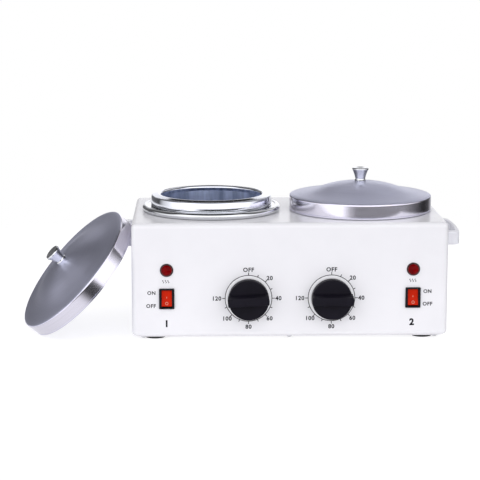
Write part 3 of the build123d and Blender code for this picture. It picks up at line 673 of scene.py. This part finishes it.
def makeDial(name):
    # built face up, pointer towards +Y, then stood on its rear face
    s = dialSizes
    radius, thickness, hub = s["radius"], s["thickness"], s["hub"]
    edge, rearEdge, hubEdge = s["edge"], s["rearEdge"], s["hubEdge"]
    wall = radius - s["recessWall"]
    rings = [(s["bore"], 0.0), (hub - hubEdge, 0.0), (hub, hubEdge), (hub, s["recess"])]
    rings += [(wall, s["recess"]), (wall, rearEdge), (wall + rearEdge, 0)]
    rings += [(radius - rearEdge, 0), (radius, rearEdge), (radius, thickness / 2)]
    rings += arcRings((radius - edge, thickness - edge), edge, 0, 90, steps=5)
    rings += [(radius - s["faceRing"], thickness), (s["bore"], thickness), (s["bore"], 0.0)]
    dial = turnPiece(name, rings, s["segments"], closed=True)
    reach = radius + s["tip"]
    base = thickness - s["gripSink"]
    top = thickness - edge + s["gripHeight"]
    grip = boxPiece(f"{name}Grip", (-s["gripBase"] / 2, -reach, base), (s["gripBase"] / 2, reach, top))
    # the bar narrows towards its front face, the one that looks up here
    makeActive(grip)
    bpy.ops.object.mode_set(mode="EDIT")
    bpy.ops.mesh.select_all(action="DESELECT")
    mesh = bmesh.from_edit_mesh(grip.data)
    for face in mesh.faces:
        face.select_set(face.normal.z > 0.9)
    bmesh.update_edit_mesh(grip.data)
    narrowing = s["gripFront"] / s["gripBase"]
    bpy.ops.transform.resize(value=(narrowing, 1, 1), center_override=(0, 0, top * mm))
    bpy.ops.object.mode_set(mode="OBJECT")
    # its ends follow the skirt's round, and the pointer's end stands out by the tip
    deselectAll()
    halfTip = s["tip"] / 2
    bpy.ops.mesh.primitive_cylinder_add(
        vertices=s["segments"], radius=(radius + halfTip) * mm, depth=s["trimDepth"] * mm,
        location=(0, halfTip * mm, s["trimHeight"] * mm),
    )
    cutter = bpy.context.object
    makeActive(grip)
    trim = grip.modifiers.new("trim", "BOOLEAN")
    trim.operation = "INTERSECT"
    trim.object = cutter
    bpy.ops.object.modifier_apply(modifier=trim.name)
    bpy.data.objects.remove(cutter)
    bevelPiece(grip, s["gripEdge"], segments=3, angle=35)
    dial = joinPieces([dial, grip], name)
    smoothPiece(dial, 32)
    return dial


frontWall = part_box("housing_shell")[0].y
standUp = Matrix.Rotation(radians(90), 4, "X")  # turns what lies face up to face the front
dialTurns = {"left": 267.0, "right": 90.0}
for side in sides:
    spindle = middleOf(f"{side}_dial_spindle")
    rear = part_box(f"{side}_dial_knob")[1].y
    dial = makeDial(f"{side}DialKnob")
    turned = Matrix.Rotation(radians(-dialTurns[side]), 4, "Z")
    placePiece(dial, Matrix.Translation((spindle.x, rear, spindle.z)) @ standUp @ turned)
    finishPiece(dial, dialBlack, f"{side}_dial", "black_plastic", f"{side}_dial_knob")
print("dials made")


# Lamps

lampSizes = {
    "flange": 6.75, "flangeHeight": 1.0,
    "flangeEdge": ((0.1, 0), (0, 0.1), (0, 0.5), (0.15, 0.8), (0.5, 1.0)),
    "dome": 5.9, "domeFoot": 0.1, "domeHeight": 3.6, "domeSteps": 13, "rimWidth": 0.6, "segments": 64,
}


def makeLens(name):
    s = lampSizes
    top = s["flangeHeight"] + s["domeHeight"]
    rings = [(0, 0)] + [(s["flange"] - inset, height) for inset, height in s["flangeEdge"]]
    rings += [(s["dome"] + s["domeFoot"], s["flangeHeight"])]
    # the dome is a cap of this ball
    ball = (s["dome"] ** 2 + s["domeHeight"] ** 2) / (2 * s["domeHeight"])
    spread = atan2(s["dome"], ball - s["domeHeight"])
    for i in range(1, s["domeSteps"]):
        turn = spread * (1 - i / s["domeSteps"])
        rings.append((ball * sin(turn), top - ball + ball * cos(turn)))
    rings += [(0, top)]
    lens = turnPiece(name, rings, s["segments"])
    smoothPiece(lens, 30)
    return lens


def onLensRim(radius, height, normal):
    return radius > lampSizes["dome"] - lampSizes["rimWidth"]


for side in sides:
    middle = middleOf(f"{side}_lamp_lens")
    lens = makeLens(f"{side}LampLens")
    lens.data.materials.append(lensRed)
    paintFaces(lens, lensRim, onLensRim)
    placePiece(lens, Matrix.Translation((middle.x, frontWall, middle.z)) @ standUp)
    finishPiece(lens, lensRed, "housing", "red_lens", f"{side}_lamp_lens")
print("lamps made")


# Printing on the panel

printSizes = {
    "thickness": 0.05, "letterDepth": 0.02, "drawnSize": 10, "tracking": 1.12, "bold": 0.32, "boldest": 0.45,
    "dialCircle": 23.6, "circleWidth": 0.7, "plate": (20.9, 23.2), "plateDepth": 0.03, "roundSegments": 128,
    "steps": 12, "stepTurn": 22.5, "stepValue": 10, "tickLength": 3.0, "minorLength": 2.4, "tickWidth": 0.75,
    "numberReach": (30.2, 29.4), "numberHeight": 4.5, "lastShift": 1.6,
    "waves": 3, "waveHeight": 3.3, "waveWidth": 0.75, "waveSwing": 0.6, "waveGap": 2.6, "waveSteps": 12,
}


def printedText(name, words, x, z, height, bold=printSizes["bold"]):
    # x and z in millimetres, at the middle of the words
    s = printSizes
    deselectAll()
    bpy.ops.object.text_add(location=(0, 0, 0))
    label = bpy.context.object
    label.name = name
    label.data.body = words
    label.data.size = s["drawnSize"] * mm
    label.data.space_character = s["tracking"]
    label.data.extrude = s["letterDepth"] * mm
    label.data.offset = bold * mm
    label.data.align_x = "CENTER"
    label.data.resolution_u = 3
    bpy.ops.object.convert(target="MESH")
    label = bpy.context.object
    label.data.name = name
    xs = [v.co.x for v in label.data.vertices]
    ys = [v.co.y for v in label.data.vertices]
    scale = height * mm / (max(ys) - min(ys))
    label.data.transform(Matrix.Translation((-(max(xs) + min(xs)) / 2, -(max(ys) + min(ys)) / 2, 0)))
    spot = Matrix.Translation((x * mm, frontWall - s["letterDepth"] * mm, z * mm))
    placePiece(label, spot @ standUp @ Matrix.Diagonal((scale, scale, 1, 1)))
    return label


def flatRing(name, inner, outer, low, high, segments):
    rings = [(inner, low), (inner, high), (outer, high), (outer, low), (inner, low)]
    return turnPiece(name, rings, segments, closed=True)


def dialScale(side):
    s = printSizes
    spindle = middleOf(f"{side}_dial_spindle")
    x, z = spindle.x / mm, spindle.z / mm
    thick = s["thickness"]
    inner, half = s["dialCircle"], s["circleWidth"] / 2
    circle = flatRing("circle", inner - half, inner + half, 0, thick, s["roundSegments"])
    stand = Matrix.Translation((spindle.x, frontWall, spindle.z)) @ standUp
    placePiece(circle, stand)
    pieces = [circle]
    half = s["tickWidth"] / 2
    for step in range(s["steps"] + 1):
        turn = radians(s["stepTurn"] * step)
        numbered = step % 2 == 0
        length = s["tickLength"] if numbered else s["minorLength"]
        tick = boxPiece("tick", (-half, inner, 0), (half, inner + length, thick))
        placePiece(tick, stand @ Matrix.Rotation(-turn, 4, "Z"))
        pieces.append(tick)
        if numbered:
            words = "OFF" if step == 0 else str(step * s["stepValue"])
            across, up = s["numberReach"]
            if step == s["steps"]:
                across += s["lastShift"]
            pieces.append(printedText("number", words, x + across * sin(turn), z + up * cos(turn),
                                      s["numberHeight"]))
    return joinPieces(pieces, f"{side}DialScale")


def dialHighlightRing(side):
    # a white ring between the knob and the printed circle, whiter than the enamel: a painted highlight that lifts
    # the shade round the knob
    s = printSizes
    plate = flatRing(f"{side}DialHighlightRing", *s["plate"], 0, s["plateDepth"], s["roundSegments"])
    spindle = middleOf(f"{side}_dial_spindle")
    placePiece(plate, Matrix.Translation((spindle.x, frontWall, spindle.z)) @ standUp)
    return plate


for side in sides:
    finishPiece(dialHighlightRing(side), highlightWhite, "housing", "white_enamel")
    finishPiece(dialScale(side), printInk, "housing", "black_plastic")
centre = middleOf("housing_shell").x / mm
# name, words, place across from the housing's middle, height above the table, letter height, weight
labels = [
    ("leftOnLabel", "ON", -140.1, 50.3, 3.9, "bold"), ("leftOffLabel", "OFF", -140.5, 36.9, 4.0, "bold"),
    ("rightOnLabel", "ON", 139.3, 50.7, 3.9, "bold"), ("rightOffLabel", "OFF", 139.6, 37.7, 4.0, "bold"),
    ("leftNumeral", "1", -124.9, 18.6, 7.2, "boldest"), ("rightNumeral", "2", 123.8, 19.1, 7.2, "boldest"),
]
for name, words, x, z, height, weight in labels:
    label = printedText(name, words, centre + x, z, height, printSizes[weight])
    finishPiece(label, printInk, "housing", "black_plastic")


def makeHeatStroke(x, z):
    # one wavy stroke, drawn upwards from its lower end
    s = printSizes
    rise = s["waveHeight"] / s["waveSteps"]
    sway = [s["waveSwing"] * sin(2 * pi * i / s["waveSteps"]) for i in range(s["waveSteps"] + 1)]
    deselectAll()
    bpy.ops.mesh.primitive_plane_add(size=1, location=(0, 0, 0))
    stroke = bpy.context.object
    editAll(stroke)
    bpy.ops.transform.resize(value=(s["waveWidth"] * mm, s["thickness"] * mm, 1), center_override=(0, 0, 0))
    bpy.ops.transform.translate(
        value=(x * mm, frontWall - s["thickness"] / 2 * mm, (z - s["waveHeight"] / 2) * mm)
    )
    for here, there in zip(sway, sway[1:]):
        bpy.ops.mesh.extrude_region_move(
            TRANSFORM_OT_translate={"value": ((there - here) * mm, 0, rise * mm)}
        )
    bpy.ops.mesh.select_all(action="SELECT")
    bpy.ops.mesh.normals_make_consistent(inside=False)
    bpy.ops.object.mode_set(mode="OBJECT")
    return stroke


def heatMark(name, x, z):
    # short wavy strokes side by side, the plain sign of heat
    s = printSizes
    shifts = [(i - (s["waves"] - 1) / 2) * s["waveGap"] for i in range(s["waves"])]
    return joinPieces([makeHeatStroke(x + shift, z) for shift in shifts], name)


for name, x, z in (("leftHeatMark", -125.5, 62.0), ("rightHeatMark", 124.3, 62.0)):
    finishPiece(heatMark(name, centre + x, z), printInk, "housing", "black_plastic")


# Marks on the rockers: a bar by the on half and a ring on the off half

markSizes = {
    "bar": (0.6, 1.8), "barRise": 1.2, "ring": 1.55, "ringWidth": 0.5, "ringDrop": 4.6, "thickness": 0.04,
    "rayStart": 20, "segments": 32,
}


def layOnRocker(piece, side):
    # each point keeps its own height above the face that lies behind it
    rocker = nodes[f"{side}_rocker"]
    for point in piece.data.vertices:
        start = Vector((point.co.x, frontWall - markSizes["rayStart"] * mm, point.co.z))
        spot = rocker.ray_cast(start, Vector((0, 1, 0)))[1]
        point.co.y += spot.y
    piece.data.update()


def makeRockerMarks(side):
    s = markSizes
    middle = middleOf(f"{side}_rocker")
    x, z = middle.x / mm, middleOf(f"{side}_switch_body").z / mm
    width, height = s["bar"]
    thick = s["thickness"]
    bar = boxPiece("bar", (x - width / 2, -thick, z + s["barRise"] - height / 2),
                   (x + width / 2, thick, z + s["barRise"] + height / 2))
    ring = flatRing("ring", s["ring"] - s["ringWidth"], s["ring"], -thick, thick, s["segments"])
    placePiece(ring, Matrix.Translation((x * mm, 0, (z - s["ringDrop"]) * mm)) @ standUp)
    marks = joinPieces([bar, ring], f"{side}RockerMarks")
    layOnRocker(marks, side)
    return marks


for side in sides:
    finishPiece(makeRockerMarks(side), markPaint, f"{side}_switch", "red_rocker")
print("printing made")


# Floor

floorSizes = {
    "radius": 0.75, "fadeFrom": 0.42, "fadeTo": 0.735, "segments": 96,
    "color": (0.94, 0.94, 0.95), "seenColor": (0.46, 0.46, 0.47), "seenGlow": 0.76,
    "fill": 0.22, "fillNear": 0.12, "fillFar": 0.36,
}


def shaderNode(material, kind, color=None, strength=None):
    node = addNode(material, kind)
    if color:
        node.inputs["Color"].default_value = (*color, 1)
    if strength is not None:
        node.inputs["Strength"].default_value = strength
    return node


def mixShaders(material, kind, first, second, factor=None):
    node = addNode(material, kind)
    start = 0
    if factor is not None:
        link(material, factor, node.inputs["Fac"])
        start = 1
    link(material, first.outputs[0], node.inputs[start])
    link(material, second.outputs[0], node.inputs[start + 1])
    return node


def eased(material, source, fromLow, fromHigh, toLow=0.0, toHigh=1.0):
    span = addNode(material, "ShaderNodeMapRange", interpolation_type="SMOOTHSTEP")
    span.inputs["From Min"].default_value = fromLow
    span.inputs["From Max"].default_value = fromHigh
    span.inputs["To Min"].default_value = toLow
    span.inputs["To Max"].default_value = toHigh
    link(material, source, span.inputs["Value"])
    return span.outputs["Result"]


def makeFloorMaterial():
    # nearly white to the camera, matt with a soft fill near the warmer for the light, and not there at all
    # for mirror reflections; it fades out towards its edge
    s = floorSizes
    material = bpy.data.materials.new("paleFloor")
    material.use_nodes = True
    material.node_tree.nodes.clear()
    rays = addNode(material, "ShaderNodeLightPath")
    place = addNode(material, "ShaderNodeTexCoord")
    length = addNode(material, "ShaderNodeVectorMath", operation="LENGTH")
    link(material, place.outputs["Object"], length.inputs[0])
    distance = length.outputs["Value"]

    fill = shaderNode(material, "ShaderNodeEmission")
    link(material, eased(material, distance, s["fillNear"], s["fillFar"], s["fill"], 0.0),
         fill.inputs["Strength"])
    matt = shaderNode(material, "ShaderNodeBsdfDiffuse", s["color"])
    litFloor = mixShaders(material, "ShaderNodeAddShader", matt, fill)
    seenMatt = shaderNode(material, "ShaderNodeBsdfDiffuse", s["seenColor"])
    glow = shaderNode(material, "ShaderNodeEmission", strength=s["seenGlow"])
    seenFloor = mixShaders(material, "ShaderNodeAddShader", seenMatt, glow)
    either = mixShaders(material, "ShaderNodeMixShader", litFloor, seenFloor, rays.outputs["Is Camera Ray"])

    away = addNode(material, "ShaderNodeMath", operation="MAXIMUM")
    link(material, eased(material, distance, s["fadeFrom"], s["fadeTo"]), away.inputs[0])
    link(material, rays.outputs["Is Glossy Ray"], away.inputs[1])
    clear = shaderNode(material, "ShaderNodeBsdfTransparent")
    faded = mixShaders(material, "ShaderNodeMixShader", either, clear, away.outputs[0])
    output = addNode(material, "ShaderNodeOutputMaterial")
    link(material, faded.outputs[0], output.inputs["Surface"])
    return material


deselectAll()
bpy.ops.mesh.primitive_circle_add(
    vertices=floorSizes["segments"], radius=floorSizes["radius"], fill_type="TRIFAN"
)
floor = bpy.context.object
floor.name = "studioFloor"
floor.data.materials.append(makeFloorMaterial())
print("floor made")


# Light: softboxes and dark corners of the studio, painted on the world as rings of light at several
# heights. Each stop is an azimuth, from the front, -Y, towards +X, and the strength there.

sky = {
    "tableRing": [(-180, 0.8), (0, 0.95), (180, 0.8)],
    "lowRing": [(-180, 1.0), (-150, 0.9), (-110, 0.9), (-85, 1.1), (-62, 1.3), (-46, 1.55), (-36, 1.5),
                (-21, 0.35), (-10, 0.03), (22, 0.05), (70, 0.11), (95, 0.04), (121, 0.02), (140, 0.08),
                (160, 0.6), (180, 1.0)],
    "middleRing": [(-180, 1.3), (-173, 0.95), (-163, 0.15), (-150, 0.16), (-118, 0.08), (-104, 0.7),
                   (-75, 1.35), (0, 1.5), (75, 1.35), (98, 0.7), (112, 0.1), (146, 0.1), (162, 1.1),
                   (180, 1.3)],
    "highRing": [(-180, 1.0), (-165, 0.8), (-150, 0.25), (-125, 0.12), (-80, 0.12), (-60, 1.4), (-30, 1.6),
                 (0, 1.55), (30, 1.6), (60, 1.4), (80, 0.12), (125, 0.3), (150, 0.95), (180, 1.0)],
    "screenRing": [(-180, 0.03), (-164, 0.03), (-158, 0.8), (-150, 0.15), (-120, 0.1), (-80, 0.12),
                   (-60, 1.4), (0, 1.55), (60, 1.4), (80, 0.12), (120, 0.3), (145, 1.0), (160, 0.03),
                   (180, 0.03)],
    "overhead": 0.03, "overheadForMatt": 0.75, "brightest": 2.0, "color": (0.97, 0.97, 1.0),
}

# where one ring gives way to the next, in degrees above the horizon
skyHeights = {
    "tableToLow": (-36, -22), "lowToMiddle": (-8, -5), "middleToHigh": (13, 22), "highToScreen": (22, 24),
    "screenToHigh": (35, 38), "highToOverhead": (48, 60),
}

world = bpy.data.worlds.new("studio")
bpy.context.scene.world = world
world.use_nodes = True
world.node_tree.nodes.clear()


def worldMath(operation, first, second=None):
    node = addNode(world, "ShaderNodeMath", operation=operation)
    for socket, value in zip(node.inputs, (first, second)):
        if isinstance(value, (int, float)):
            socket.default_value = value
        elif value is not None:
            link(world, value, socket)
    return node.outputs[0]


direction = addNode(world, "ShaderNodeTexCoord")
parts = addNode(world, "ShaderNodeSeparateXYZ")
link(world, direction.outputs["Generated"], parts.inputs[0])
climb = worldMath("ARCSINE", parts.outputs["Z"])
toFront = worldMath("MULTIPLY", parts.outputs["Y"], -1.0)
azimuth = worldMath("ARCTAN2", parts.outputs["X"], toFront)
around = worldMath("ADD", worldMath("DIVIDE", azimuth, 2 * pi), 0.5)


def skyRing(name):
    stops = sky[name]
    ramp = addNode(world, "ShaderNodeValToRGB")
    points = ramp.color_ramp.elements
    points[1].position = 1.0
    for stop in stops[1:-1]:
        points.new((stop[0] + 180) / 360)
    for point, stop in zip(points, stops):
        shade = stop[1] / sky["brightest"]
        point.color = (shade, shade, shade, 1)
    link(world, around, ramp.inputs["Fac"])
    return ramp.outputs["Color"]


def mixColors(first, second, factor, blend="MIX"):
    mix = addNode(world, "ShaderNodeMix", data_type="RGBA", blend_type=blend)
    for socket, value in ((0, factor), (6, first), (7, second)):
        if isinstance(value, (float, tuple)):
            mix.inputs[socket].default_value = value
        else:
            link(world, value, mix.inputs[socket])
    return mix.outputs[2]


def blendRings(lower, upper, heights):
    lowerEnds, upperStarts = skyHeights[heights]
    share = eased(world, climb, radians(lowerEnds), radians(upperStarts))
    return mixColors(lower, upper, share)


rays = addNode(world, "ShaderNodeLightPath")
high = skyRing("highRing")
extra = worldMath("MULTIPLY", rays.outputs["Is Diffuse Ray"], sky["overheadForMatt"] / sky["brightest"])
overhead = worldMath("ADD", extra, sky["overhead"] / sky["brightest"])
light = blendRings(skyRing("tableRing"), skyRing("lowRing"), "tableToLow")
light = blendRings(light, skyRing("middleRing"), "lowToMiddle")
light = blendRings(light, high, "middleToHigh")
light = blendRings(light, skyRing("screenRing"), "highToScreen")
light = blendRings(light, high, "screenToHigh")
light = blendRings(light, overhead, "highToOverhead")
light = mixColors(light, (*sky["color"], 1), 1.0, "MULTIPLY")
studioLight = shaderNode(world, "ShaderNodeBackground", strength=sky["brightest"])
link(world, light, studioLight.inputs["Color"])
backdrop = shaderNode(world, "ShaderNodeBackground", (1, 1, 1), 1.0)
seenOrLit = mixShaders(world, "ShaderNodeMixShader", studioLight, backdrop, rays.outputs["Is Camera Ray"])
output = addNode(world, "ShaderNodeOutputWorld")
link(world, seenOrLit.outputs[0], output.inputs["Surface"])
print("light made")


# Camera, standing where the photograph was taken

cameraSizes = {
    "distance": 1.7619, "focalPixels": 1664.2, "picturePixels": 480, "sensor": 36, "pitch": 10.153,
    "turn": 1.563, "aim": (-48.22, 0.0, 88.31), "clipEnd": 50,
}


def makeCamera():
    # the aim is in millimetres, counted across from the housing's middle and up from the table
    s = cameraSizes
    shell = middleOf("housing_shell")
    across, back, up = s["aim"]
    aim = Vector((shell.x + across * mm, shell.y + back * mm, up * mm))
    pitch, turn = radians(s["pitch"]), radians(s["turn"])
    forward = Vector((sin(turn) * cos(pitch), cos(turn) * cos(pitch), -sin(pitch)))
    data = bpy.data.cameras.new("photoCamera")
    data.sensor_width = s["sensor"]
    data.lens = s["focalPixels"] * s["sensor"] / s["picturePixels"]
    data.clip_end = s["clipEnd"]
    camera = bpy.data.objects.new("photoCamera", data)
    bpy.context.scene.collection.objects.link(camera)
    camera.location = aim - forward * s["distance"]
    camera.rotation_euler = forward.to_track_quat("-Z", "Y").to_euler()
    bpy.context.scene.camera = camera


makeCamera()
bpy.context.scene.view_settings.view_transform = "Standard"
print("camera set")
